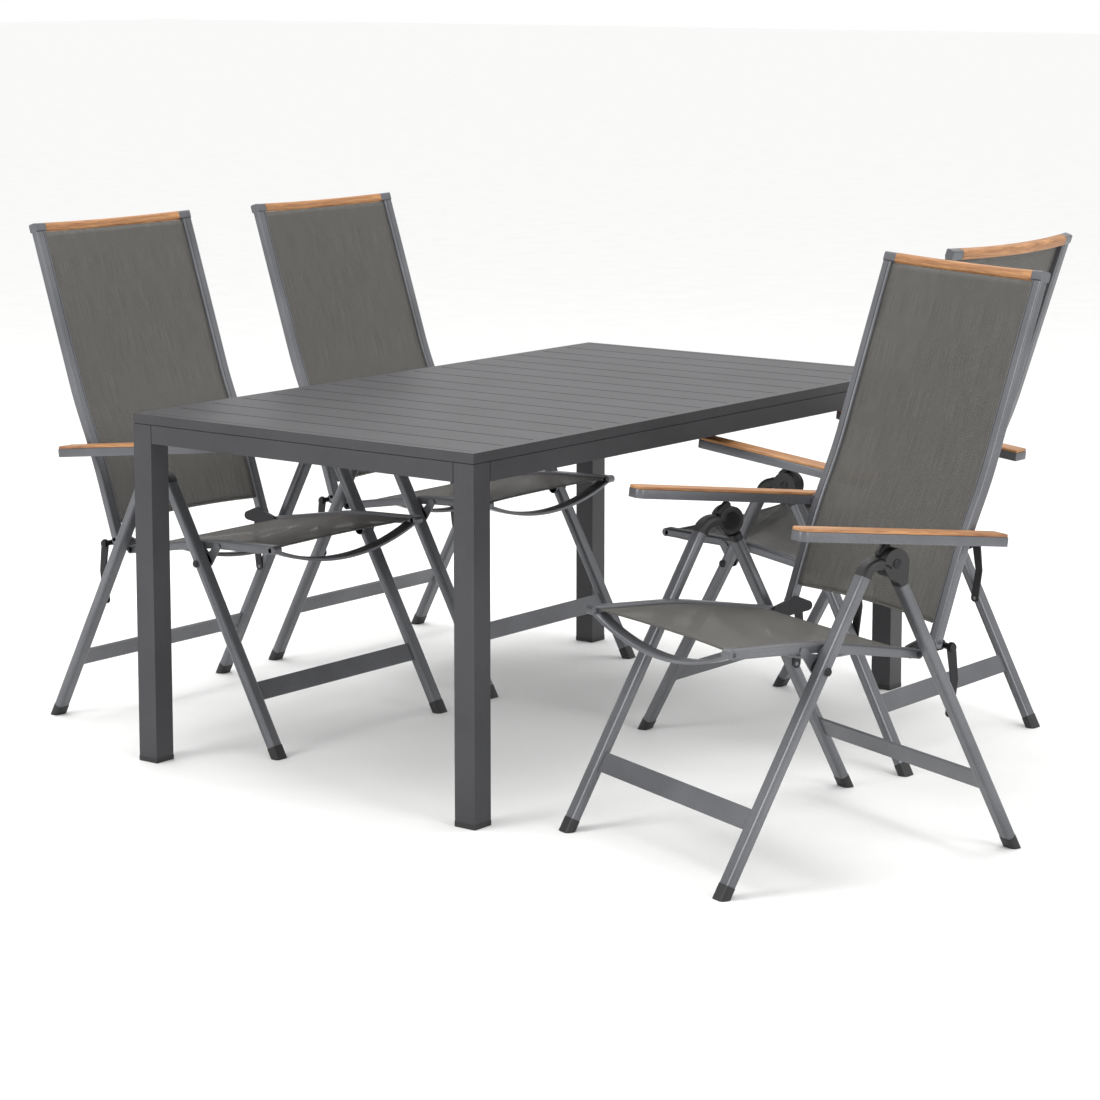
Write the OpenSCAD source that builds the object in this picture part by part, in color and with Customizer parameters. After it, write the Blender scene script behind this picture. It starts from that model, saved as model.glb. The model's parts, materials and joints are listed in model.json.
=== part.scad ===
// Patio dining set: an aluminium slat table and four folding, reclining armchairs.
// Millimetres, +Z up, the floor at z = 0, the table's long side along X. The origin is
// on the floor at the middle of the whole set's footprint.

/* [Table] */
// Length of the table top
table_l = 1575; // [1500:5:1900]
// Width of the table top
table_w = 910; // [850:5:1100]
// Height of the table top above the floor
table_h = 740; // [735:5:780]
// Side of a square table leg
leg_side = 50; // [40:1:60]
// Wall of a table leg tube
leg_wall = 2; // [1.5:0.5:4]
// Thickness of the slat deck and its rim
deck_t = 20; // [16:1:26]
// Width of the rim round the slats
rim_w = 21; // [16:1:40]
// Height of the apron under the rim
apron_h = 40; // [30:1:44]
// Wall of the apron extrusion
apron_t = 20; // [15:1:30]
// Number of slats across the length
slats = 16; // [10:1:20]
// Gap between two slats
slat_gap = 4; // [2:0.5:8]
// Height of a table foot cap
foot_cap_h = 10; // [6:1:20]

/* [Chair legs] */
// Front feet to rear feet, in the chair's side view
foot_pitch = 668; // [640:2:700]
// Height of the knuckle pivot that joins the legs
knuckle_z = 580; // [560:2:600]
// Knuckle pivot in front of the rear feet
knuckle_y = 298; // [290:1:306]
// Lean of the front leg from upright, in degrees
front_lean = 28.6; // [28:0.1:29]
// Leg tube across the chair
tube_w = 34; // [30:1:36]
// Leg tube along the chair
tube_d = 20; // [18:1:24]
// Wall of a leg tube
tube_wall = 1.6; // [1.2:0.1:2.5]
// Middle of a leg tube from the chair's centre plane
leg_x = 267; // [267:1:300]
// Height of the flat cross bars
bar_h = 40; // [30:1:46]
// Thickness of the flat cross bars
bar_t = 6; // [4:1:8]
// Length of a chair foot cap
chair_cap = 26; // [18:1:40]
// Radius of the knuckle discs
knuckle_r = 28; // [24:1:30]

/* [Seat and back] */
// Rail of the seat and the back, across the chair
rail_w = 26; // [20:1:30]
// Rail of the seat and the back, thickness
rail_d = 18; // [14:1:20]
// Fabric thickness of the solid that stands for the woven panel
fabric_t = 3; // [2:0.5:4]
// Bow bars under the seat, drop in the middle
bow_drop = 42; // [20:1:48]
// Top rail's rearward bow
top_bow = 16; // [6:1:24]
// Height of the top rail
top_h = 20; // [16:1:28]

/* [Armrests] */
// Length of an armrest
arm_l = 474; // [440:2:480]
// Width of an armrest
arm_w = 44; // [38:1:46]
// Height of the armrest tray
tray_h = 18; // [14:1:20]
// Thickness of the wooden strip on the tray
wood_t = 6; // [4:1:10]
// Slope of an armrest, in degrees
arm_tilt = 6.5; // [5.5:0.1:7]

/* [Places] */
// Rear feet of the two chairs on the back side, from the table's centre plane
far_y = 900; // [880:5:1000]
// Rear feet of the chair on the front side
near_y = 892; // [880:5:1000]
// First back-side chair along the table
chair1_x = -330; // [-360:5:-300]
// Second back-side chair along the table
chair2_x = 388; // [330:1:400]
// Front-side chair along the table
chair3_x = 360; // [355:1:400]
// Turned chair: rear feet along X
chair4_x = -154; // [-200:1:-150]
// Turned chair: rear feet along Y
chair4_y = -1089; // [-1150:1:-1080]
// Turned chair: its turn, in degrees
chair4_turn = 68.7; // [66:0.1:70]

/* [Hidden] */
$fn = 64;
clear = 0.5;      // between pieces that move past each other
run = 0.05;       // radial play of a hinge pin
weld = 3;         // how far a welded bar reaches into a tube
seam = 1.6;       // shadow gaps of the table
pin_r = 4;        // hinge pins
knuckle_pin = 6;  // pin of the knuckle
bolt_r = 7;
bolt_h = 3;
link_t = 4;
plate_t = 8;
boss_r = 13;      // round ends of the hinge brackets
tube_r = 8;       // corner radius of the leg tubes
lip = 0.8;        // how far a cap stands proud of its tube

rear_lean = atan(knuckle_y / knuckle_z);
rear_len = norm([knuckle_y, knuckle_z]);
leg_in = leg_x - tube_w / 2;            // inner face of the legs
leg_out = leg_x + tube_w / 2;           // outer face of the legs
side_x = leg_in - link_t - 2 * clear;   // outer face of the seat and back rails
rail_x = side_x - rail_w / 2;           // middle of the rails
rail_in = side_x - rail_w;              // inner face of the rails
link_x = side_x + clear;                // inner face of the links
plate_x = rail_in - clear - plate_t;    // inner face of the hinge brackets

knuckle = [knuckle_y, knuckle_z];
front_up = [-sin(front_lean), cos(front_lean)];
front_top = 560 / cos(front_lean);      // length of the front tubes
elbow = [foot_pitch, 0] + (front_top + 26) * front_up;
elbow_r = tube_d / 2 + lip + 1;
rear_top = rear_len - knuckle_r - 18;   // length of the rear tubes
front_bar = 130;                        // cross bars, measured up the legs
rear_bar = 134;
seat_pivot = [foot_pitch - 396 * tan(front_lean), 396];
link_low = [knuckle_y * 275 / knuckle_z, 275];
link_mid = [132, 338];
link_top = [140, 400];
seat_hinge = [212, 394];
back_hinge = [167, 408];
arm_hinge = [98, 607];
post_foot = [316, 598];
post_r = 8;
post_gap = 0.5;
post_y = 306;

chords = 4;                             // flats in a bend of a rail
seat_angle = 9.4;
seat_path = [[188, 0], [700, -7.4], [145, 0]];
cloth_in = 26;                          // bare rail at the hinge end, seat
back_angle = 108.2;
back_path = [[129, 0], [1300, 5.4], [30, 0], [900, -5.4], [342, 0]];
back_bare = 36;                         // bare rail at the hinge end, back
bow_front = 622;
bow_rear = 350;
panel_up = 3;                           // fabric in front of the rails' middle
pin_depth = 22;
groove_r = 0.9;
groove_x = 9;
plate_d = 95;                           // corner plates, from the leg's outer corner
bolt_z = 700;
bar_y = 280;                            // deck supports, from the centre
cap_x = 212;                            // where the top rail's corner caps begin

arm_back = 52;                          // armrest behind its hinge
tray_wall = 2;
arm_h = tray_h + wood_t;
under = [post_y, arm_hinge.y + (post_y - arm_hinge.x) * tan(arm_tilt)
    - arm_h / 2 / cos(arm_tilt)];       // the armrest's underside above the post
post_top = [post_y, under.y - post_r / cos(arm_tilt) - post_gap];

slat_room = table_l - 2 * rim_w;
slat_pitch = slat_room / slats;
frame_top = table_h - deck_t;

spots = [[chair1_x, far_y, 180], [chair2_x, far_y, 180], [chair3_x, -near_y, 0],
    [chair4_x, chair4_y, chair4_turn]];
back_reach = 100;                       // how far a back leans behind the rear feet
x_low = chair4_x - foot_pitch * sin(chair4_turn) - leg_out * cos(chair4_turn) - tube_d / 2;
y_low = chair4_y - leg_out * sin(chair4_turn) - tube_d / 2;
origin = [(x_low + table_l / 2) / 2, (y_low + far_y + back_reach) / 2];

metal = "#5f6366";
dark = "#4b4b4d";
black = "#27282a";
cloth = "#615e59";
wood = "#b97a45";

table_parts = ["rim", "slats", "aprons", "legs", "feet", "supports", "corner_plates",
    "corner_bolts"];
chair_parts = ["front_legs", "front_caps", "rear_legs", "rear_caps", "seat_frame",
    "seat_fabric", "back_frame", "back_fabric", "top_rail", "hinge_brackets", "links",
    "arm_hinges", "armrests"];

// ---- Shapes used by several pieces ----

function turn(p, a) = [p.x * cos(a) - p.y * sin(a), p.x * sin(a) + p.y * cos(a)];

// Where a path of [length, 0] straights and [radius, turn] bends ends: [point, direction].
function path_end(p, a, steps, i = 0) =
    i == len(steps) ? [p, a]
    : steps[i][1] == 0 ? path_end(p + turn([steps[i][0], 0], a), a, steps, i + 1)
    : path_end(p + bend_step(steps[i][0], steps[i][1], a), a + steps[i][1], steps, i + 1);
function bend_step(r, t, a) = turn(2 * r * sin(abs(t) / 2) * [cos(t / 2), sin(t / 2)], a);

// A flat outline in the side view, given thickness t from x outwards.
module on_side(x, t) {
    translate([x, 0, 0]) rotate([90, 0, 90]) linear_extrude(t) children();
}

module pair() {
    children();
    mirror([1, 0, 0]) children();
}

module dot(p, r) {
    translate(p) circle(r);
}

// Two round ends joined by their outer tangents.
module strap(a, ra, b, rb) {
    d = b - a;
    way = atan2(d.y, d.x);
    lean = acos((ra - rb) / norm(d));
    dot(a, ra);
    dot(b, rb);
    polygon([a + turn([ra, 0], way + lean), a + turn([ra, 0], way - lean),
        b + turn([rb, 0], way - lean), b + turn([rb, 0], way + lean)]);
}

module round_bar(w, d, r) {
    square([w - 2 * r, d], center = true);
    square([w, d - 2 * r], center = true);
    for (i = [-1, 1], j = [-1, 1]) dot([i * (w / 2 - r), j * (d / 2 - r)], r);
}

// Points along a path, each with the direction there: bends are taken in short chords.
function path_points(p, a, steps, i = 0, k = 0) =
    i == len(steps) ? [[p, a]]
    : steps[i][1] == 0 ? concat([[p, a]],
        path_points(p + turn([steps[i][0], 0], a), a, steps, i + 1))
    : concat([[p, a]], k + 1 == chords
        ? path_points(p + bend_step(steps[i][0], steps[i][1] / chords, a),
            a + steps[i][1] / chords, steps, i + 1)
        : path_points(p + bend_step(steps[i][0], steps[i][1] / chords, a),
            a + steps[i][1] / chords, steps, i, k + 1));

// A strip of thickness t along a path, moved up to its left.
module strip(p, a, steps, t, up = 0) {
    points = path_points(p, a, steps);
    last = len(points) - 1;
    polygon(concat(
        [for (i = [0:last]) points[i][0] + turn([0, up + t / 2], points[i][1])],
        [for (i = [last:-1:0]) points[i][0] + turn([0, up - t / 2], points[i][1])]));
}

// ---- Table ----

// The four corners, each with the table's outer corner at the origin.
module corners() {
    for (i = [0, 1], j = [0, 1]) mirror([i, 0, 0]) mirror([0, j, 0])
        translate([-table_l / 2, -table_w / 2, 0]) children();
}

module ring(outside, inside) {
    difference() {
        square([table_l - 2 * outside, table_w - 2 * outside], center = true);
        square([table_l - 2 * inside, table_w - 2 * inside], center = true);
    }
}

// A channel open below, closed above.
module table_rim() {
    color(dark) difference() {
        union() {
            translate([0, 0, frame_top]) linear_extrude(deck_t) ring(0, rim_w);
            translate([0, 0, frame_top - seam]) linear_extrude(deck_t) ring(3, rim_w);
        }
        translate([0, 0, frame_top - seam - 1]) linear_extrude(deck_t + seam - 1)
            ring(5, rim_w - 2);
    }
}

module table_slats() {
    wide = slat_pitch - slat_gap;
    long = table_w - 2 * rim_w;
    color(dark) for (i = [0:slats - 1])
        translate([-slat_room / 2 + i * slat_pitch + slat_gap / 2, -long / 2, frame_top])
            difference() {
                cube([wide, long, deck_t]);
                translate([2, -1, -1]) cube([wide - 4, long + 2, deck_t - 1]);
            }
}

module box_tube(long) {
    rotate([90, 0, 90]) linear_extrude(long) difference() {
        square([apron_t, apron_h - seam]);
        translate([2, 2]) square([apron_t - 4, apron_h - seam - 4]);
    }
}

module table_aprons() {
    start = leg_side + seam;
    color(dark) translate([0, 0, frame_top - apron_h]) {
        for (j = [0, 1]) mirror([0, j, 0])
            translate([start - table_l / 2, -table_w / 2, 0]) box_tube(table_l - 2 * start);
        for (i = [0, 1]) mirror([i, 0, 0]) translate([-table_l / 2, table_w / 2 - start, 0])
            rotate([0, 0, -90]) box_tube(table_w - 2 * start);
    }
}

// Points an outline along the corner's diagonal, starting d from the corner.
module diagonal(d) {
    translate([0, 0, bolt_z]) rotate([0, 0, 45]) translate([d, 0, 0]) rotate([0, 90, 0])
        children();
}

module table_legs() {
    color(dark) corners() difference() {
        translate([0, 0, foot_cap_h]) linear_extrude(frame_top - seam - foot_cap_h)
            difference() {
                square(leg_side);
                translate([leg_wall, leg_wall]) square(leg_side - 2 * leg_wall);
            }
        diagonal(leg_side) cylinder(r = pin_r + run, h = leg_side);
    }
}

module table_feet() {
    color(black) corners() {
        translate([-0.5, -0.5, 0]) cube([leg_side + 1, leg_side + 1, foot_cap_h]);
        translate([leg_wall + 0.2, leg_wall + 0.2, 0])
            cube([leg_side - 2 * leg_wall - 0.4, leg_side - 2 * leg_wall - 0.4,
                foot_cap_h + 14]);
    }
}

module table_supports() {
    half = table_l / 2 - max(rim_w, apron_t);
    color(dark) for (y = [-bar_y, 0, bar_y])
        translate([-half, y - 15, frame_top - 15]) rotate([90, 0, 90]) linear_extrude(2 * half)
            difference() {
                square([30, 15]);
                translate([2, 2]) square([26, 11]);
            }
}

module table_corner_plates() {
    d = plate_d * sqrt(2) - apron_t;
    e = (plate_d + 4) * sqrt(2) - apron_t;
    color(dark) corners() difference() {
        translate([0, 0, bolt_z - 15]) linear_extrude(30)
            polygon([[apron_t, d], [d, apron_t], [e, apron_t], [apron_t, e]]);
        diagonal(plate_d - 2) cylinder(r = pin_r + run, h = 10);
    }
}

module table_corner_bolts() {
    color(black) corners() {
        diagonal(leg_side + 10) cylinder(r = pin_r, h = plate_d + 5 - leg_side - 10);
        diagonal(plate_d + 4) cylinder(r = bolt_r, h = 5, $fn = 6);
    }
}

// ---- Chair: legs ----

module along_front() {
    translate([0, foot_pitch, 0]) rotate([front_lean, 0, 0]) children();
}

module along_rear() {
    rotate([-rear_lean, 0, 0]) children();
}

module leg_tube(length) {
    translate([leg_x, 0, chair_cap]) linear_extrude(length - chair_cap) difference() {
        round_bar(tube_w, tube_d, tube_r);
        round_bar(tube_w - 2 * tube_wall, tube_d - 2 * tube_wall, tube_r - tube_wall);
        for (j = [-1, 1]) dot([groove_x, j * tube_d / 2], groove_r);
    }
}

module cross_bar(up) {
    translate([-leg_in - weld, -bar_t / 2, up]) cube([2 * (leg_in + weld), bar_t, bar_h]);
}

module cap_sleeve(low, high) {
    translate([leg_x, 0, low]) linear_extrude(high - low)
        round_bar(tube_w + 2 * lip, tube_d + 2 * lip, tube_r + lip);
}

// Cuts a foot level with the floor.
module above_floor() {
    intersection() {
        children();
        translate([0, -foot_pitch, 0]) cube([2 * leg_x, 3 * foot_pitch, knuckle_z]);
    }
}

module front_legs() {
    color(metal) {
        along_front() {
            pair() leg_tube(front_top);
            cross_bar(front_bar);
        }
        pair() on_side(side_x + clear, leg_in + weld - side_x - clear)
            dot(seat_pivot, pin_r);
        pair() on_side(leg_out - lip, bolt_h) dot(seat_pivot, bolt_r);
    }
}

module front_caps() {
    color(black) pair() {
        above_floor() along_front() cap_sleeve(-chair_cap, chair_cap);
        along_front() cap_sleeve(front_top, front_top + 26);
        on_side(leg_in - lip, tube_w + 2 * lip) dot(elbow, elbow_r);
        on_side(leg_in - lip, tube_w / 2 + lip - clear / 2)
            strap(knuckle, knuckle_r, elbow, elbow_r - 1.5);
        on_side(leg_x - tube_w / 4, tube_w * 0.6) dot(knuckle, knuckle_pin);
        on_side(leg_in + weld, tube_w / 2 - weld - 1)
            strap(post_foot, post_r + 2, post_top, post_r);
    }
}

module rear_legs() {
    color(metal) {
        along_rear() {
            pair() leg_tube(rear_top);
            cross_bar(rear_bar);
        }
        pair() on_side(link_x, leg_in + weld - link_x) dot(link_low, pin_r);
    }
}

module rear_caps() {
    color(black) pair() {
        above_floor() along_rear() cap_sleeve(-chair_cap, chair_cap);
        along_rear() cap_sleeve(rear_top, rear_top + 14);
        difference() {
            on_side(leg_x + clear / 2, tube_w / 2 + lip - clear / 2)
                strap(knuckle, knuckle_r, (rear_top + 14) / rear_len * knuckle, elbow_r);
            on_side(leg_x - tube_w / 4, tube_w * 0.6 + 1) dot(knuckle, knuckle_pin + run);
        }
    }
}

// ---- Chair: seat and back ----

module rail(start, a, steps) {
    difference() {
        on_side(rail_in, rail_w) {
            strip(start, a, steps, rail_d);
            dot(start, rail_d / 2);
        }
        on_side(rail_in - 1, pin_depth + 1) dot(start, pin_r + run);
    }
}

// A bar between the rails that hangs down in the middle.
module bow_bar(y, z) {
    half = rail_in + 5;
    r = (half * half + bow_drop * bow_drop) / 2 / bow_drop;
    open = asin(half / r);
    translate([0, y, z + r - bow_drop]) rotate([90, 0, 0]) rotate([0, 0, 270 - open])
        rotate_extrude(angle = 2 * open, $fn = 720) translate([r, 0])
            square([10, 26], center = true);
}

module seat_frame() {
    color(metal) {
        pair() {
            rail(seat_hinge, seat_angle, seat_path);
            on_side(rail_in, rail_w) dot(path_end(seat_hinge, seat_angle, seat_path)[0],
                rail_d / 2);
            difference() {
                on_side(side_x - 1, link_t + 1) {
                    strap(seat_pivot, 12, seat_pivot + [26, 34], 8);
                    strap(seat_pivot, 12, seat_pivot + [-20, 30], 8);
                }
                on_side(side_x - 2, link_t + 3) dot(seat_pivot, pin_r + run);
            }
        }
        bow_bar(bow_front, 433);
        bow_bar(bow_rear, 412);
    }
}

module seat_fabric() {
    color(cloth) on_side(-rail_in, 2 * rail_in)
        strip(seat_hinge + turn([cloth_in, 0], seat_angle), seat_angle,
            [[seat_path[0][0] - cloth_in, 0], seat_path[1], [seat_path[2][0] - 8, 0]],
            fabric_t, panel_up);
}

// The end of the back, where X is across, Y forward and Z up along the back.
module at_top() {
    end = path_end(back_hinge, back_angle, back_path);
    translate([0, end[0].x, end[0].y]) rotate([end[1] - 90, 0, 0]) translate([0, 0, -2])
        children();
}

module top_piece(from, to) {
    r = (side_x * side_x + top_bow * top_bow) / 2 / top_bow;
    a = asin(from / r);
    translate([0, r - top_bow, 0]) rotate([0, 0, 270 + a])
        rotate_extrude(angle = asin(to / r) - a, $fn = 1440)
            translate([r - rail_d / 2 - 1, 0]) square([rail_d + 2, top_h]);
}

module back_frame() {
    color(metal) pair() {
        difference() {
            rail(back_hinge, back_angle, back_path);
            on_side(side_x - 12.5, 20) dot(arm_hinge, pin_r + run);
        }
        at_top() top_piece(cap_x, side_x);
    }
}

module top_rail() {
    color(wood) at_top() top_piece(-cap_x, cap_x);
}

module back_fabric() {
    color(cloth) on_side(-rail_in, 2 * rail_in)
        strip(back_hinge + turn([back_bare, 0], back_angle), back_angle,
            [[back_path[0][0] - back_bare, 0], back_path[1], back_path[2], back_path[3],
                [back_path[4][0] - 4, 0]], fabric_t, -panel_up);
}

module hinge_brackets() {
    color(metal) pair() {
        on_side(plate_x, plate_t) {
            strap(seat_hinge, boss_r, back_hinge, boss_r);
            strap(back_hinge, boss_r, link_top, 10);
            strap(seat_hinge, boss_r, link_top, 10);
            polygon([seat_hinge, back_hinge, link_top]);
        }
        on_side(plate_x + 2, plate_t + pin_depth - 2) {
            dot(seat_hinge, pin_r);
            dot(back_hinge, pin_r);
        }
        on_side(plate_x + 2, side_x + 0.2 - plate_x - 2) dot(link_top, 6);
    }
}

module links() {
    color(metal) pair() {
        difference() {
            on_side(link_x, link_t) {
                strap(link_low, 9, link_mid, 8);
                strap(link_mid, 8, link_top, 10);
            }
            on_side(link_x - 1, link_t + 2) dot(link_low, pin_r + run);
        }
        on_side(link_x + link_t, bolt_h) dot(link_top, bolt_r);
    }
}

// ---- Chair: armrests ----

module arm_hinges() {
    color(metal) pair() {
        on_side(link_x, link_t) dot(arm_hinge, 10);
        on_side(side_x - 12, 23) dot(arm_hinge, pin_r);
    }
}

// An armrest's outline from above, shrunk by g all round.
module arm_outline(g) {
    round_at = 14;
    translate([g, g - arm_back]) square([arm_w - 2 * g, arm_l - round_at - g]);
    for (x = [round_at, arm_w - round_at])
        translate([x, arm_l - arm_back - round_at]) circle(round_at - g);
    translate([round_at, arm_l - arm_back - 2 * round_at])
        square([arm_w - 2 * round_at, 2 * round_at - g]);
}

module armrests() {
    pair() translate([leg_in, arm_hinge.x, arm_hinge.y]) rotate([arm_tilt, 0, 0]) {
        color(metal) difference() {
            translate([0, 0, -arm_h / 2]) linear_extrude(tray_h) arm_outline(0);
            translate([0, 0, -arm_h / 2 - 1]) linear_extrude(tray_h + 1 - tray_wall)
                arm_outline(tray_wall);
            translate([-1, 0, 0]) rotate([0, 90, 0]) cylinder(r = pin_r + run, h = 8);
        }
        color(wood) translate([0, 0, arm_h / 2 - wood_t]) linear_extrude(wood_t)
            arm_outline(1);
        color(black) translate([tray_wall, 60, -arm_h / 2])
            cube([arm_w - 2 * tray_wall, 330, 5]);
    }
}

// ---- The set ----

module at_chair(n) {
    translate([spots[n - 1].x, spots[n - 1].y, 0]) rotate([0, 0, spots[n - 1].z])
        children();
}

translate([-origin.x, -origin.y, 0]) {
    table_rim();
    table_slats();
    table_aprons();
    table_legs();
    table_feet();
    table_supports();
    table_corner_plates();
    table_corner_bolts();
    for (n = [1:4]) at_chair(n) {
        front_legs();
        front_caps();
        rear_legs();
        rear_caps();
        seat_frame();
        seat_fabric();
        back_frame();
        back_fabric();
        top_rail();
        hinge_brackets();
        links();
        arm_hinges();
        armrests();
    }
}
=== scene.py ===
# %% [markdown]
# # A patio dining set, as a lesson in Blender
#
# The imported CAD model is the frame of this scene: every piece below is placed from its
# joints. We light a white studio, give each real material its own finish, and
# then make the pieces whose looks need more than the CAD solids: rounded rails, woven
# mesh panels and wood-topped armrests.

# %% Load the frame
import json

import bpy
import numpy as np
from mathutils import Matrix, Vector


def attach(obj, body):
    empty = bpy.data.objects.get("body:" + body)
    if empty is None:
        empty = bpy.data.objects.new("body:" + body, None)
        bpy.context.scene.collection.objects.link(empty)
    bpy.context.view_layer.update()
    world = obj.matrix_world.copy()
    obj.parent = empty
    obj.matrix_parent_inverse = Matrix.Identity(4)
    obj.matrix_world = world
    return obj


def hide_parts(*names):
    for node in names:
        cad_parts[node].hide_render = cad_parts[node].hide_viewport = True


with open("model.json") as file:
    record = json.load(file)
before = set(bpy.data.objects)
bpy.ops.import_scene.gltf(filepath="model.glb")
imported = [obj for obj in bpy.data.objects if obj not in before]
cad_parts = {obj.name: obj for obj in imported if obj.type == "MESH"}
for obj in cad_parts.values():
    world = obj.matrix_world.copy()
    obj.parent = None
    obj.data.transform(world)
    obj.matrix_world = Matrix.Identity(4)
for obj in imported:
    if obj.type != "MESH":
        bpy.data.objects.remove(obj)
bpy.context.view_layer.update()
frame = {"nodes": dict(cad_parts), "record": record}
joints = {joint["name"]: joint for joint in frame["record"]["behaviour"]["joints"]}

# %% [markdown]
# ## Camera
#
# A product picture of a large set is taken from far away with a long lens, so that the
# far chairs are not dwarfed. Most of the downward look is a real tilt of the camera, and
# a small lens shift keeps the table's legs nearly upright in the picture.

# %% Camera
scene = bpy.context.scene
camera = bpy.data.objects.new("camera", bpy.data.cameras.new("camera"))
scene.collection.objects.link(camera)
scene.camera = camera
camera.location = (-5.4405, -4.0862, 1.6735)
tilt = np.radians(8.52)
heading = np.array([0.7918, 0.6108])
aim = Vector((*(heading * np.cos(tilt)), -np.sin(tilt)))
camera.rotation_euler = aim.to_track_quat("-Z", "Y").to_euler()
camera.data.sensor_width = 36
camera.data.lens = 105.1
camera.data.shift_y = -0.10
camera.data.clip_end = 100
print("camera at", tuple(round(c, 3) for c in camera.location), "lens", camera.data.lens)

# %% [markdown]
# ## Light
#
# A white sky fills the shadows, a large soft light above stands for the studio's
# ceiling bank, and two more, from the left and the front, model the tubes. The floor is a plain
# pale sheet that only takes soft contact shadows.

# %% Colours, and a helper that adds a node


def linear(code):
    """An sRGB hex colour as linear RGBA: the standard's power curve, straight near 0."""
    c = np.array([int(code[i : i + 2], 16) for i in (1, 3, 5)]) / 255
    return (*np.where(c <= 0.04045, c / 12.92, ((c + 0.055) / 1.055) ** 2.4), 1.0)


def add(tree, kind, links=None, **settings):
    """Adds a node: settings are its attributes, and links gives each input a socket or
    a value."""
    node = tree.nodes.new(kind)
    for name, value in settings.items():
        setattr(node, name, value)
    for name, source in (links or {}).items():
        if isinstance(source, bpy.types.NodeSocket):
            tree.links.new(source, node.inputs[name])
        else:
            node.inputs[name].default_value = source
    return node


# %% World and lights
world = bpy.data.worlds.new("studio")
scene.world = world
world.use_nodes = True
world.node_tree.nodes["Background"].inputs["Color"].default_value = linear("#ffffff")
world.node_tree.nodes["Background"].inputs["Strength"].default_value = 1.0


def area_light(name, place, size, power):
    """A square light that faces the middle of the set."""
    data = bpy.data.lights.new(name, "AREA")
    data.size, data.energy = size, power
    lamp = bpy.data.objects.new(name, data)
    lamp.location = place
    lamp.rotation_euler = (Vector((0, 0, 0.5)) - lamp.location).to_track_quat("-Z", "Y").to_euler()
    scene.collection.objects.link(lamp)


area_light("ceiling", (0.5, 0.5, 4.5), 4.0, 130)
area_light("left", (-4.5, 1.5, 3.0), 2.0, 90)
area_light("front", (-1.0, -5.0, 2.5), 2.0, 70)
scene.render.engine = "CYCLES"
scene.cycles.samples = 96
scene.cycles.use_denoising = True
scene.view_settings.view_transform = "Standard"

# %% [markdown]
# ## Materials
#
# Each finish starts from the real one. Powder coat is a baked paint with a faint orange
# peel; moulded plastic has a fine grain; coated mesh fabric is woven from round
# polyester threads of two greys; and the oiled wood has long dark pores. Every pattern's
# size is a real one, in millimetres.

# %% Material helpers


def material(name):
    """A new material and its tree, shader and coordinates."""
    made = bpy.data.materials.new(name)
    made.use_nodes = True
    tree = made.node_tree
    return made, tree, tree.nodes["Principled BSDF"], add(tree, "ShaderNodeTexCoord")


def per_metre(size_mm):
    """The noise scale whose features are size_mm wide."""
    return 1000 / size_mm


def coated(name, low, high, metallic, rough, grain_mm, bump):
    """A coating: two shades of one colour over a fine grain that also raises it."""
    made, tree, shader, at = material(name)
    grain = add(tree, "ShaderNodeTexNoise", {"Vector": at.outputs["Object"],
                "Scale": per_metre(grain_mm), "Detail": 3.0})
    cloud = add(tree, "ShaderNodeTexNoise", {"Vector": at.outputs["Object"],
                "Scale": per_metre(160), "Detail": 2.0})
    both = add(tree, "ShaderNodeMath", {0: grain.outputs["Fac"], 1: cloud.outputs["Fac"]},
               operation="MULTIPLY")
    shade = add(tree, "ShaderNodeValToRGB", {"Fac": both.outputs[0]})
    shade.color_ramp.elements[0].position, shade.color_ramp.elements[1].position = 0.1, 0.45
    shade.color_ramp.elements[0].color = linear(low)
    shade.color_ramp.elements[1].color = linear(high)
    roughness = add(tree, "ShaderNodeMapRange", {"Value": grain.outputs["Fac"],
                    "To Min": rough - 0.06, "To Max": rough + 0.08})
    raised = add(tree, "ShaderNodeBump", {"Height": grain.outputs["Fac"],
                 "Strength": bump, "Distance": 0.0002})
    tree.links.new(shade.outputs["Color"], shader.inputs["Base Color"])
    tree.links.new(roughness.outputs[0], shader.inputs["Roughness"])
    tree.links.new(raised.outputs[0], shader.inputs["Normal"])
    shader.inputs["Metallic"].default_value = metallic
    return made


# %% Coated metals and plastic
# Anthracite polyester powder coat on the table: satin, with a faint orange peel. The
# peel is drawn 2.5 mm wide, about twice its size, so that it shows at all.
table_coat = coated("anthracite_powder_coat", "#2b2b2e", "#38383b", 0.1, 0.46, 2.5, 0.25)
# Metallic grey powder coat on the chairs: aluminium flakes give it a silky highlight.
chair_coat = coated("metallic_grey_powder_coat", "#5a5b5e", "#737478", 0.55, 0.34, 1.8, 0.2)
# Black glass-filled nylon, injection moulded, with a spark-eroded grain.
nylon = coated("black_moulded_nylon", "#161617", "#232324", 0.0, 0.5, 1.5, 0.35)
# Black zinc-plated steel of the bolts.
bolt_steel = coated("black_zinc_steel", "#1d1d1f", "#303033", 0.6, 0.4, 1.5, 0.1)
print("coatings", table_coat.name, chair_coat.name, nylon.name, bolt_steel.name)

# %% Woven mesh
# PVC-coated polyester mesh. Its threads are about 1 mm apart, drawn 3 mm apart so that
# they show, and lengthwise threads of two greys make the streaks.


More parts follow.
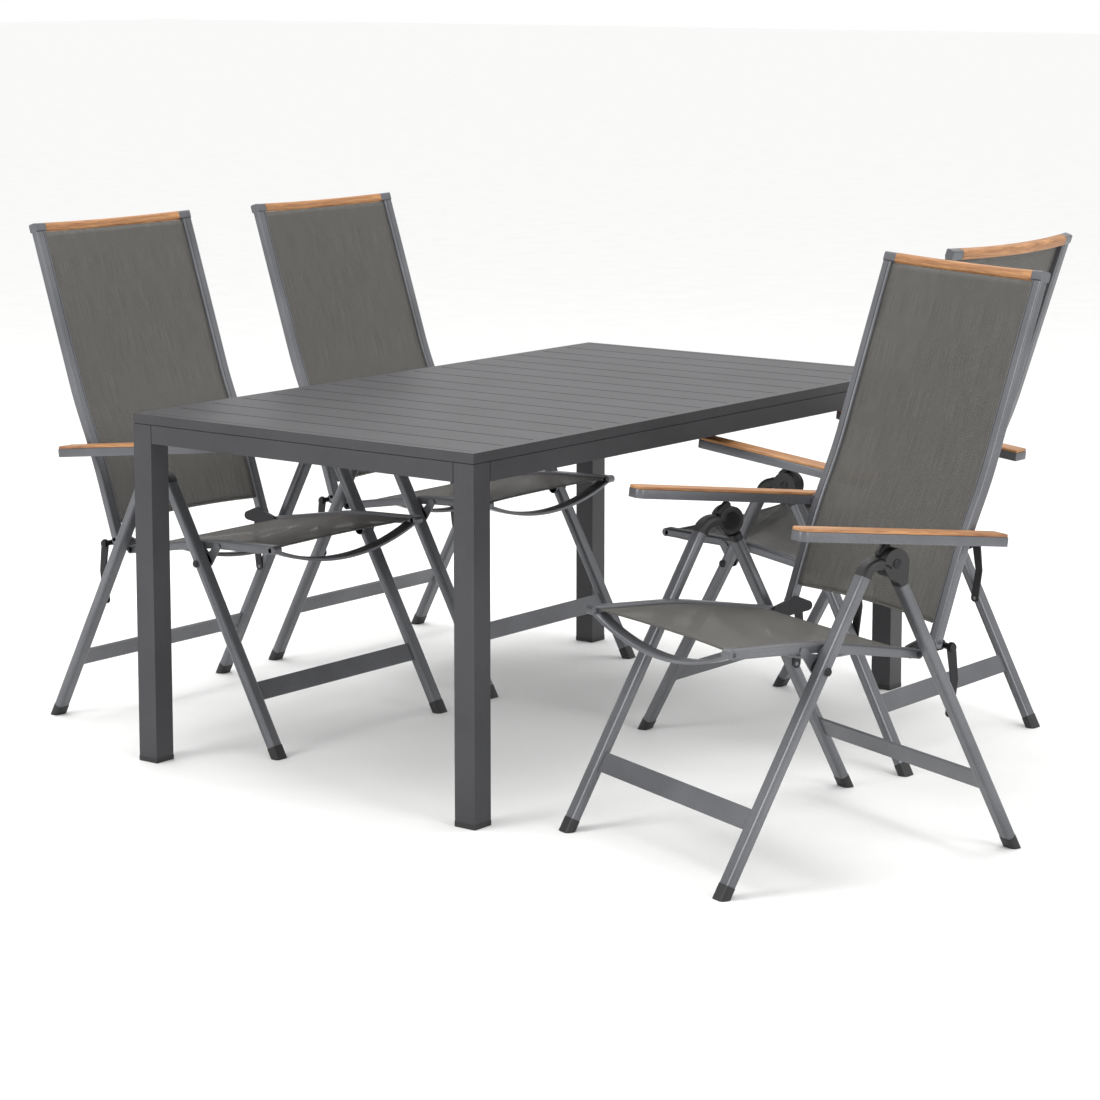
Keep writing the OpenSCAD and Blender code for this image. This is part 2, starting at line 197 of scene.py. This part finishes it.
def woven_mesh(name, low, high, cover):
    """Warp and weft waves over the cloth's own coordinates; streaks run lengthwise."""
    made, tree, shader, at = material(name)
    threads = []
    for way in ("X", "Y"):
        # A wave's bands are 2 pi / 20 of a unit apart at scale 1, so 3 mm needs 105.
        threads.append(add(tree, "ShaderNodeTexWave", {"Vector": at.outputs["UV"],
                       "Scale": 105.0, "Distortion": 0.0}, bands_direction=way))
    weave = add(tree, "ShaderNodeMath", {0: threads[0].outputs["Fac"],
                1: threads[1].outputs["Fac"]}, operation="MAXIMUM")
    long = add(tree, "ShaderNodeMapping", {"Vector": at.outputs["UV"],
               "Scale": (per_metre(1.8), per_metre(90), 1)})
    streak = add(tree, "ShaderNodeTexNoise", {"Vector": long.outputs[0], "Scale": 1.0,
                 "Detail": 3.0})
    shade = add(tree, "ShaderNodeValToRGB", {"Fac": streak.outputs["Fac"]})
    shade.color_ramp.elements[0].position, shade.color_ramp.elements[1].position = 0.2, 0.85
    shade.color_ramp.elements[0].color = linear(low)
    shade.color_ramp.elements[1].color = linear(high)
    gaps = add(tree, "ShaderNodeMapRange", {"Value": weave.outputs[0], "From Min": 0.0,
               "From Max": 0.8, "To Min": cover, "To Max": 1.0})
    raised = add(tree, "ShaderNodeBump", {"Height": weave.outputs[0], "Strength": 0.5,
                 "Distance": 0.0005})
    tree.links.new(shade.outputs["Color"], shader.inputs["Base Color"])
    tree.links.new(gaps.outputs[0], shader.inputs["Alpha"])
    tree.links.new(raised.outputs[0], shader.inputs["Normal"])
    shader.inputs["Roughness"].default_value = 0.62
    return made


mesh_cloth = woven_mesh("grey_coated_mesh", "#3f3d3a", "#5e5c57", 0.3)
print("cloth", mesh_cloth.name)

# %% Oiled wood
# Plantation eucalyptus, planed and oiled: orange-brown, with darker pores a few
# millimetres apart that run along the grain for centimetres.


def oiled_wood(name):
    """Two stretched noises: broad growth bands and fine pores, both along U."""
    made, tree, shader, at = material(name)
    bands = add(tree, "ShaderNodeMapping", {"Vector": at.outputs["UV"],
                "Scale": (per_metre(260), per_metre(9), 1)})
    pores = add(tree, "ShaderNodeMapping", {"Vector": at.outputs["UV"],
                "Scale": (per_metre(45), per_metre(1.6), 1)})
    band = add(tree, "ShaderNodeTexNoise", {"Vector": bands.outputs[0], "Scale": 1.0,
               "Detail": 4.0, "Distortion": 0.4})
    pore = add(tree, "ShaderNodeTexNoise", {"Vector": pores.outputs[0], "Scale": 1.0,
               "Detail": 2.0})
    mixed = add(tree, "ShaderNodeMath", {0: band.outputs["Fac"], 1: pore.outputs["Fac"]},
                operation="MULTIPLY")
    shade = add(tree, "ShaderNodeValToRGB", {"Fac": mixed.outputs[0]})
    shade.color_ramp.elements[0].position, shade.color_ramp.elements[1].position = 0.12, 0.4
    shade.color_ramp.elements[0].color = linear("#7c4e2c")
    shade.color_ramp.elements[1].color = linear("#bf8c5a")
    raised = add(tree, "ShaderNodeBump", {"Height": pore.outputs["Fac"], "Strength": 0.25,
                 "Distance": 0.0003})
    tree.links.new(shade.outputs["Color"], shader.inputs["Base Color"])
    tree.links.new(raised.outputs[0], shader.inputs["Normal"])
    shader.inputs["Roughness"].default_value = 0.48
    return made


wood = oiled_wood("oiled_eucalyptus")
paper = coated("white_floor_paint", "#f6f6f5", "#fcfcfb", 0.0, 0.7, 6, 0.05)
print("wood", wood.name, "floor", paper.name)

# %% [markdown]
# ## Floor
#
# The floor is a stage: it belongs to the studio and not to the set.

# %% Floor
half_floor = 60.0
floor_mesh = bpy.data.meshes.new("floor")
corner = half_floor * np.array([[-1, -1, 0], [1, -1, 0], [1, 1, 0], [-1, 1, 0]])
floor_mesh.from_pydata((corner - [0, 0, 0.0005]).tolist(), [], [(0, 1, 2, 3)])
floor_mesh.materials.append(paper)
floor = bpy.data.objects.new("floor", floor_mesh)
scene.collection.objects.link(floor)

# %% [markdown]
# ## Finish of the CAD parts
#
# Legs, caps, slats and brackets already have the right shape. They get their coating and
# a small bevel: no real edge is perfectly sharp, and the bevel catches the light.

# %% Coat the CAD nodes
coats = {"table_metal": table_coat, "chair_metal": chair_coat, "black_plastic": nylon,
         "bolt_steel": bolt_steel, "woven_mesh": mesh_cloth, "oiled_wood": wood}
slot_of = {s["node"]: s["material_slot"] for s in frame["record"]["subparts"]}
for name, node in frame["nodes"].items():
    for place in node.material_slots:
        place.material = coats[slot_of[name]]
    edge = node.modifiers.new("edge", "BEVEL")
    edge.width = 0.0012 if name.startswith("table") else 0.0008
    edge.segments, edge.limit_method, edge.angle_limit = 2, "ANGLE", np.radians(35)
    edge.harden_normals = False
print("coated", len(slot_of), "nodes")

# %% [markdown]
# ## A chair's own frame
#
# The four chairs are one design in four places. Each is built in its own millimetres: X
# across, Y forward from the rear feet, Z up. The recline hinge says where a chair stands
# and how it is turned, so one function carries points from the chair to the set.

# %% Place and mesh helpers
back_hinge = np.array([167.0, 408.0])


def placed(chair, points):
    """Turns chair millimetres by the recline axis and moves them to its hinge: X goes
    along the axis, Y at right angles to it."""
    hinge = joints[f"chair{chair}_recline"]
    c, s = hinge["axis"][0], hinge["axis"][1]
    x, y, z = points[..., 0], points[..., 1] - back_hinge[0], points[..., 2]
    at = np.array(hinge["pos_m"])
    return np.stack([x * c - y * s + 1000 * at[0], x * s + y * c + 1000 * at[1], z], -1) / 1000


def tube(rings, uv=None):
    """A closed skin through rings of points (n, m, 3): quads from ring to ring, and a
    flat end on the first and the last. uv holds a pair for each point."""
    n, m = rings.shape[:2]
    i, j = np.meshgrid(np.arange(n - 1), np.arange(m), indexing="ij")
    k = (j + 1) % m
    quads = np.stack([i * m + j, i * m + k, (i + 1) * m + k, (i + 1) * m + j], -1)
    faces = quads.reshape(-1, 4).tolist()
    faces += [list(range(m))[::-1], list(range((n - 1) * m, n * m))]
    uv = np.zeros((n, m, 2)) if uv is None else uv
    return rings.reshape(-1, 3), faces, uv.reshape(-1, 2)


def mirrored(part):
    """The same part on the chair's other side: X changes sign, and faces turn round."""
    points, faces, uv = part
    return points * [-1, 1, 1], [face[::-1] for face in faces], uv


def piece(name, chair, parts, finish, body, *nodes):
    """One object from several parts, placed in the set, smooth across gentle angles."""
    points, faces, uvs, start = [], [], [], 0
    for p, f, uv in parts:
        points.append(p)
        uvs.append(uv)
        faces += [[v + start for v in face] for face in f]
        start += len(p)
    mesh = bpy.data.meshes.new(name)
    mesh.from_pydata(placed(chair, np.concatenate(points)).tolist(), [], faces)
    corners = np.zeros(len(mesh.loops), dtype=np.int32)
    mesh.loops.foreach_get("vertex_index", corners)
    layer = mesh.uv_layers.new(name="UVMap")
    layer.data.foreach_set("uv", np.concatenate(uvs)[corners].astype(np.float32).ravel())
    mesh.materials.append(coats[finish])
    mesh.shade_smooth()
    made = bpy.data.objects.new(name, mesh)
    scene.collection.objects.link(made)
    mesh.set_sharp_from_angle(angle=np.radians(32))
    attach(made, body)
    if nodes:
        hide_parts(*nodes)
    return made


# %% Outlines


def arc(centre, r, start, turn, n):
    """n points on a circle about centre, from angle start through turn, in degrees."""
    a = np.radians(start + turn * np.linspace(0, 1, n))
    return np.array(centre) + r * np.stack([np.cos(a), np.sin(a)], -1)


def rounded(w, d, r, n=6):
    """A rectangle w by d about the origin, with four quarter circles of radius r."""
    ends = [(w / 2 - r, d / 2 - r, 0), (r - w / 2, d / 2 - r, 90),
            (r - w / 2, r - d / 2, 180), (w / 2 - r, r - d / 2, 270)]
    return np.concatenate([arc((x, y), r, a, 90, n) for x, y, a in ends])


def grooved(w, d, r, at, wide, deep):
    """A rounded bar with one groove in each broad face, where the cloth's edge cord and
    the fine shadow line of the extrusion are."""
    notch = np.array([[wide / 2, 0], [wide / 2 - 0.3, -deep], [0.3 - wide / 2, -deep],
                      [-wide / 2, 0]])
    q = rounded(w, d, r).reshape(4, -1, 2)
    top = notch + [at, d / 2]
    low = (notch * [-1, -1]) + [at, -d / 2]
    return np.concatenate([q[0], top, q[1], q[2], low, q[3]])


def strap(a, ra, b, rb, n=14):
    """Two round ends and their outer tangents, anticlockwise."""
    a, b = np.array(a), np.array(b)
    way = np.degrees(np.arctan2(*(b - a)[::-1]))
    lean = np.degrees(np.arccos((ra - rb) / np.hypot(*(b - a))))
    return np.concatenate([arc(a, ra, way + lean, 360 - 2 * lean, n),
                           arc(b, rb, way - lean, 2 * lean, n)])


def slab(outline, x, t, r=0.8):
    """A side-view outline as a plate from x to x + t. Its rims are pulled in towards the
    middle by r for a soft edge."""
    mid = outline.mean(0)
    out = outline - mid
    small = mid + out * (1 - r / np.linalg.norm(out, axis=1))[:, None]
    rows = [(small, x), (outline, x + r), (outline, x + t - r), (small, x + t)]
    return tube(np.stack([np.column_stack([np.full(len(o), at), o]) for o, at in rows]))


print("rail outline points", len(grooved(26, 18, 4, -7, 1.6, 1.4)))

# %% [markdown]
# ## Rails
#
# A rail is an extruded tube, bent a little where the sitter's back leans. We walk its
# path in the side view, straight pieces and arcs in turn, and carry the rounded outline
# along it, always square to the path.

# %% Paths and sweeps
seat_hinge = np.array([212.0, 394.0])
seat_pivot = np.array([668 - 396 * np.tan(np.radians(28.6)), 396.0])
seat_path = [(188, 0), (700, -7.4), (145, 0)]
back_path = [(129, 0), (1300, 5.4), (30, 0), (900, -5.4), (340, 0)]
rail_w, rail_d, side_x = 26.0, 18.0, 245.0
rail_x, rail_in = side_x - rail_w / 2, side_x - rail_w


def walk(start, angle, steps, n=10):
    """Points and directions along a path of (length, 0) straights and (radius, turn)
    arcs: an arc's centre is square to the path, on the side it turns to."""
    p, a, points, ways = np.array(start, float), angle, [], []
    for size, turn in steps:
        t = np.linspace(0, 1, n)
        if turn == 0:
            way = np.full(n, a)
            line = p + size * t[:, None] * [np.cos(np.radians(a)), np.sin(np.radians(a))]
        else:
            side = np.sign(turn)
            way = a + turn * t
            centre = p + side * size * np.array([-np.sin(np.radians(a)), np.cos(np.radians(a))])
            w = np.radians(way)
            line = centre + side * size * np.stack([np.sin(w), -np.cos(w)], -1)
        points.append(line[bool(points):])
        ways.append(way[bool(ways):])
        p, a = line[-1], a + turn
    return np.concatenate(points), np.concatenate(ways)


def swept(points, ways, outline, x):
    """Carries an outline along a side-view path: its first number goes across the chair
    from x, its second along the path's left normal."""
    w = np.radians(ways)
    normal = np.stack([-np.sin(w), np.cos(w)], -1)
    side = points[:, None] + outline[None, :, 1:] * normal[:, None]
    across = np.broadcast_to(x + outline[:, 0], side.shape[:2])
    return tube(np.concatenate([across[..., None], side], -1)[::-1])


def cap_dome(points, ways, at_end, outline_d):
    """The half disc that closes a rail's end in the side view."""
    return slab(arc(points[-1 if at_end else 0], outline_d / 2, 0, 360, 32)[:-1],
                rail_in, rail_w, 1.5)


def bow(y, z, drop, tall, wide):
    """A bar that hangs between the rails on an arc through both: the radius follows from
    half the span and the drop."""
    half = rail_in + 5
    r = (half**2 + drop**2) / 2 / drop
    a = np.linspace(-1, 1, 40) * np.arcsin(half / r)
    o = rounded(tall, wide, 3)
    radius = r + o[None, :, 0]
    x = radius * np.sin(a)[:, None]
    up = z + r - drop - radius * np.cos(a)[:, None]
    along = np.broadcast_to(y + o[:, 1], x.shape)
    return tube(np.stack([x, along, up], -1))


rail_outline = grooved(rail_w, rail_d, 4, -7, 1.6, 1.4)
seat_line, seat_way = walk(seat_hinge, 9.4, seat_path)
back_line, back_way = walk(back_hinge, 108.2, back_path)
print("seat rail ends at", seat_line[-1].round(1), "back rail at", back_line[-1].round(1))

# %% Seat frames and back frames
body_of = {1: "chair1", 2: "chair2", 3: "chair3", 4: "chair4_seat"}
plates = [strap(seat_pivot, 12, seat_pivot + [26, 34], 8),
          strap(seat_pivot, 12, seat_pivot + [-20, 30], 8)]
cap_x, top_bow, top_h = 212.0, 16.0, 20.0
top_r = (side_x**2 + top_bow**2) / 2 / top_bow


def top_piece(from_x, to_x, deep, tall, r, n=30):
    """A bar on the arc that joins the two rails' tops, bowed backwards, from one distance
    across to another. U follows the arc, for the wood's grain."""
    a = np.linspace(np.arcsin(from_x / top_r), np.arcsin(to_x / top_r), n)
    o = rounded(deep, tall, r)
    radius = top_r + o[None, :, 0]
    x = radius * np.sin(a)[:, None]
    forward = top_r - top_bow - radius * np.cos(a)[:, None]
    up = np.broadcast_to(o[:, 1] + top_h / 2, x.shape)
    w = np.radians(back_way[-1])
    y = back_line[-1][0] + forward * np.sin(w) + up * np.cos(w)
    z = back_line[-1][1] - forward * np.cos(w) + up * np.sin(w)
    uv = np.stack([x + 0 * y, up + 0.7 * np.broadcast_to(o[:, 0], x.shape)], -1) / 1000
    return tube(np.stack([x, y, z], -1), uv)


for chair in (1, 2, 3, 4):
    seat_rail = swept(seat_line, seat_way, rail_outline, rail_x)
    seat_parts = [seat_rail, cap_dome(seat_line, seat_way, True, rail_d),
                  cap_dome(seat_line, seat_way, False, rail_d)]
    seat_parts += [slab(p, side_x - 1, 5) for p in plates]
    parts = seat_parts + [mirrored(p) for p in seat_parts]
    parts += [bow(622, 433, 42, 8, 30), bow(350, 412, 42, 8, 26)]
    piece(f"chair{chair}_seat_tubes", chair, parts, "chair_metal", body_of[chair],
          f"chair{chair}_seat_frame")
    back_parts = [swept(back_line, back_way, rail_outline, rail_x),
                  cap_dome(back_line, back_way, False, rail_d),
                  top_piece(cap_x, side_x, rail_d + 2, top_h, 4, 8)]
    piece(f"chair{chair}_back_tubes", chair, back_parts + [mirrored(p) for p in back_parts],
          "chair_metal", f"chair{chair}_back", f"chair{chair}_back_frame")
    piece(f"chair{chair}_top_wood", chair,
          [top_piece(-cap_x + 0.3, cap_x - 0.3, rail_d + 3, top_h + 1, 6)],
          "oiled_wood", f"chair{chair}_back", f"chair{chair}_top_rail")
print("rails of 4 chairs made")

# %% [markdown]
# ## Woven panels
#
# The mesh is stretched between the rails: a cord sewn into each side edge sits in the
# rail's groove. It stays nearly flat, gives a few millimetres in the middle, and its
# free edges are pulled in between the rails. One grid does both panels.

# %% Panels


def panel(line, way, lift, sag, pull):
    """A grid across (u, -1 to 1) and along (v, 0 to 1). It lies lift from the path and
    sags by sag (1 - u u) sin(pi v); its end edges are pulled in by pull (1 - u u)."""
    u = np.linspace(-1, 1, 41)[:, None]
    gone = np.concatenate([[0], np.cumsum(np.hypot(*np.diff(line, axis=0).T))])
    v = np.linspace(0, 1, 61)[None]
    full = gone[-1]
    curve = 1 - u**2
    along = v * full + curve * (pull[0] * (1 - v) ** 6 - pull[1] * v**6)
    y, z, w = (np.interp(along, gone, t) for t in (line[:, 0], line[:, 1], np.radians(way)))
    off = lift - sag * curve * np.sin(np.pi * v)
    points = np.stack([(rail_in + 4) * u + 0 * v, y - off * np.sin(w), z + off * np.cos(w)], -1)
    uv = np.stack([(rail_in + 4) * u + 0 * v, along], -1) / 1000
    n, m = points.shape[:2]
    i, j = np.meshgrid(np.arange(n - 1), np.arange(m - 1), indexing="ij")
    quads = np.stack([i * m + j, (i + 1) * m + j, (i + 1) * m + j + 1, i * m + j + 1], -1)
    return points.reshape(-1, 3), quads.reshape(-1, 4).tolist(), uv.reshape(-1, 2), full


def hem(points, r):
    """A round welt of radius r along the panel's edge, closed at both ends."""
    side = np.gradient(points, axis=0)
    side /= np.linalg.norm(side, axis=1)[:, None]
    up = np.cross(side, np.cross([0, 0.2, 1], side))
    up /= np.linalg.norm(up, axis=1)[:, None]
    out = np.cross(side, up)
    a = np.linspace(0, 2 * np.pi, 13)[:-1]
    ring = r * (np.cos(a)[None, :, None] * up[:, None] + np.sin(a)[None, :, None] * out[:, None])
    rings = points[:, None] + ring
    uv = np.stack([rings[..., 0], 3 * np.broadcast_to(a, rings.shape[:2])], -1) / 1000
    return tube(rings, uv)


cloth_in, back_bare = 26, 36
seat_cut = walk(seat_hinge + cloth_in * np.array([np.cos(np.radians(9.4)),
                np.sin(np.radians(9.4))]), 9.4, [(188 - cloth_in, 0), seat_path[1], (137, 0)])
back_cut = walk(back_hinge + back_bare * np.array([np.cos(np.radians(108.2)),
                np.sin(np.radians(108.2))]), 108.2,
                [(129 - back_bare, 0), *back_path[1:4], (338, 0)])
for chair in (1, 2, 3, 4):
    for part, cut, lift, sag, pull in (("seat", seat_cut, 3, 9, (4, 12)),
                                       ("back", back_cut, -3, -7, (7, 0))):
        *grid, full = panel(*cut, lift, sag, pull)
        body = body_of[chair] if part == "seat" else f"chair{chair}_back"
        cloth = piece(f"chair{chair}_{part}_mesh", chair, [grid], "woven_mesh", body,
                      f"chair{chair}_{part}_fabric")
        thick = cloth.modifiers.new("thickness", "SOLIDIFY")
        thick.thickness, thick.offset = 0.0012, 0
        edges = grid[0].reshape(41, 61, 3)[1:-1]
        ends = [hem(edges[:, 0], 1.8)] + ([hem(edges[:, -1], 2.4)] if part == "seat" else [])
        welt = piece(f"chair{chair}_{part}_hem", chair, ends, "woven_mesh", body)
print("seat panel", round(seat_cut[0][-1][0] - seat_cut[0][0][0]), "mm deep")

# %% [markdown]
# ## Armrests
#
# An armrest is a folded aluminium tray that carries a thin board. Underneath runs a
# black track with notches: the short post of the front leg drops into one of them and
# sets the recline. Stacked outlines make the tray and the board, a comb the track.

# %% Armrests
arm_hinge = np.array([98.0, 607.0])
arm_x, arm_l, arm_w, arm_back, arm_tilt = 250.0, 474.0, 44.0, 52.0, np.radians(6.5)
tray_h, wood_t = 18.0, 6.0
arm_low = -(tray_h + wood_t) / 2


def arm_outline(inset, front=14):
    """The tray from above, inset all round: small corners behind, round ones in front."""
    x0, x1 = inset, arm_w - inset
    y0, y1 = -arm_back + inset, arm_l - arm_back - inset
    big, small = front - inset, 2
    return np.concatenate([arc((x1 - big, y1 - big), big, 0, 90, 10),
                           arc((x0 + big, y1 - big), big, 90, 90, 10),
                           arc((x0 + small, y0 + small), small, 180, 90, 4),
                           arc((x1 - small, y0 + small), small, 270, 90, 4)])


def tilted(points):
    """Turns the armrest's own points by its slope about its hinge."""
    c, s = np.cos(arm_tilt), np.sin(arm_tilt)
    x, y, z = points[..., 0], points[..., 1], points[..., 2]
    return np.stack([arm_x + x, arm_hinge[0] + y * c - z * s, arm_hinge[1] + y * s + z * c], -1)


def stack(rows):
    """A skin through armrest outlines, each (inset, height). U runs along the armrest."""
    rings = np.stack([np.column_stack([arm_outline(g), np.full(28, z)]) for g, z in rows])
    uv = np.stack([rings[..., 1], rings[..., 0] + rings[..., 2]], -1) / 1000
    return tube(tilted(rings), uv)


tray = stack([(2, arm_low + tray_h - 2), (2, arm_low), (0, arm_low),
              (0, arm_low + tray_h - 1.5), (0.4, arm_low + tray_h - 0.4),
              (1.5, arm_low + tray_h)])
top = arm_low + tray_h
board = stack([(2, top), (1.2, top + 0.6), (1, top + 2), (1, top + wood_t - 2.2),
               (1.5, top + wood_t - 0.9), (2.6, top + wood_t - 0.2), (4, top + wood_t)])
pitch, first, last = 33.0, 60.0, 390.0
teeth = int((last - first) // pitch)


def track():
    """A comb in the side view: each notch is a half circle, cut up from below."""
    low, high = arm_low, arm_low + 5
    notch = [arc((first + (i + 0.5) * pitch, low), 4, 180, -180, 7) for i in range(teeth)]
    edge = np.concatenate([[[first, low]], *notch, [[last, low], [last, high], [first, high]]])
    rows = [np.column_stack([np.full(len(edge), x), edge]) for x in (2.2, arm_w - 2.2)]
    return tube(tilted(np.stack(rows)))


def dome(centre, x, r, tall, way=1):
    """A round bolt head whose axis runs across the chair: a quarter ellipse, turned."""
    t = np.linspace(0, 0.5 * np.pi, 6)[:-1]
    rows = [(r, 0)] + [(r * np.cos(a), 0.35 * tall + 0.65 * tall * np.sin(a)) for a in t]
    rows.append((0.15 * r, tall))
    rings = [np.column_stack([np.full(24, x + way * h), arc(centre, q, 0, 360, 25)[:-1]])
             for q, h in rows]
    return tube(np.stack(rings))


for chair in (1, 2, 3, 4):
    body = f"chair{chair}_arms"
    for part, shape, finish, nodes in (
            ("tray", tray, "chair_metal", [f"chair{chair}_armrests"]),
            ("board", board, "oiled_wood", []), ("track", track(), "black_plastic", [])):
        piece(f"chair{chair}_{part}", chair, [shape, mirrored(shape)], finish, body, *nodes)
print("armrests with", teeth, "notches")

# %% [markdown]
# ## Knuckles and bolts
#
# A moulded arch carries the front leg round to the pivot above the rear leg: it is the
# leg's outline, a little larger, swept round a quarter turn into a disc. A short post
# stands on it for the armrest. Small black bolt heads close every pivot.

# %% Front knuckles
knuckle, disc_r, disc_wide = np.array([298.0, 580.0]), 28, 17.5
leg_x, leg_in, leg_out = 267.0, 250.0, 284.0
lean, leg_way = np.radians(28.6), 118.6
leg_up = np.array([-np.sin(lean), np.cos(lean)])
front_foot, front_len, cap_len, lip = np.array([668.0, 0.0]), 560 / np.cos(lean), 26.0, 0.8
sleeve = rounded(34 + 2 * lip, 20 + 2 * lip, 8 + lip, 8)
arch = walk(front_foot + (front_len - 1) * leg_up, leg_way, [(6, 0), (32, 104)], 16)
post_foot, post_top = np.array([318.0, 598.0]), np.array([306.0, 610.0])


def foot(outline, way, low):
    """A cap on a leg's end, cut level with the floor: along the leg from its top, each
    lower point slides down the leg's own line until it meets the floor."""
    up = np.array([np.cos(way), np.sin(way)])
    side = np.array([-up[1], up[0]])
    rows = []
    for t in (1.0, 0.5, 0.0):
        at = low + cap_len * up + outline[:, 1:] * side
        drop = (at[:, 1] / up[1])[:, None] * up * (1 - t)
        rows.append(np.column_stack([leg_x + outline[:, 0], at - drop]))
    return tube(np.stack(rows))


for chair in (1, 2, 3, 4):
    parts = [swept(*arch, sleeve, leg_x),
             slab(arc(knuckle, disc_r, 0, 360, 49)[:-1], leg_in - lip, disc_wide, 2),
             slab(strap(knuckle, 20, arch[0][-1], 10.5), leg_in - lip, disc_wide, 1.5),
             slab(strap(post_foot, 9, post_top, 8), leg_in + 3, 13, 2),
             foot(sleeve, np.radians(leg_way), front_foot)]
    piece(f"chair{chair}_knuckles", chair, parts + [mirrored(p) for p in parts],
          "black_plastic", f"chair{chair}", f"chair{chair}_front_caps")
print("front knuckles and feet of 4 chairs made")

# %% Bolt heads
brace_x = 252.5
link_top = (140.0, 400.0)
for chair in (1, 2, 3, 4):
    rear, links = (("chair4_rear", "chair4_links") if chair == 4
                   else [f"chair{chair}"] * 2)
    heads = {"pivot": ([dome(knuckle, leg_out + lip, 9, 3)], rear),
             "seat": ([dome(seat_pivot, leg_out + 2.2, 8, 3.5)], f"chair{chair}"),
             "link": ([dome(link_top, brace_x, 8, 3)], links)}
    for part, (bolts, body) in heads.items():
        piece(f"chair{chair}_{part}_bolts", chair, bolts + [mirrored(b) for b in bolts],
              "bolt_steel", body)
print("bolt heads of 4 chairs made")
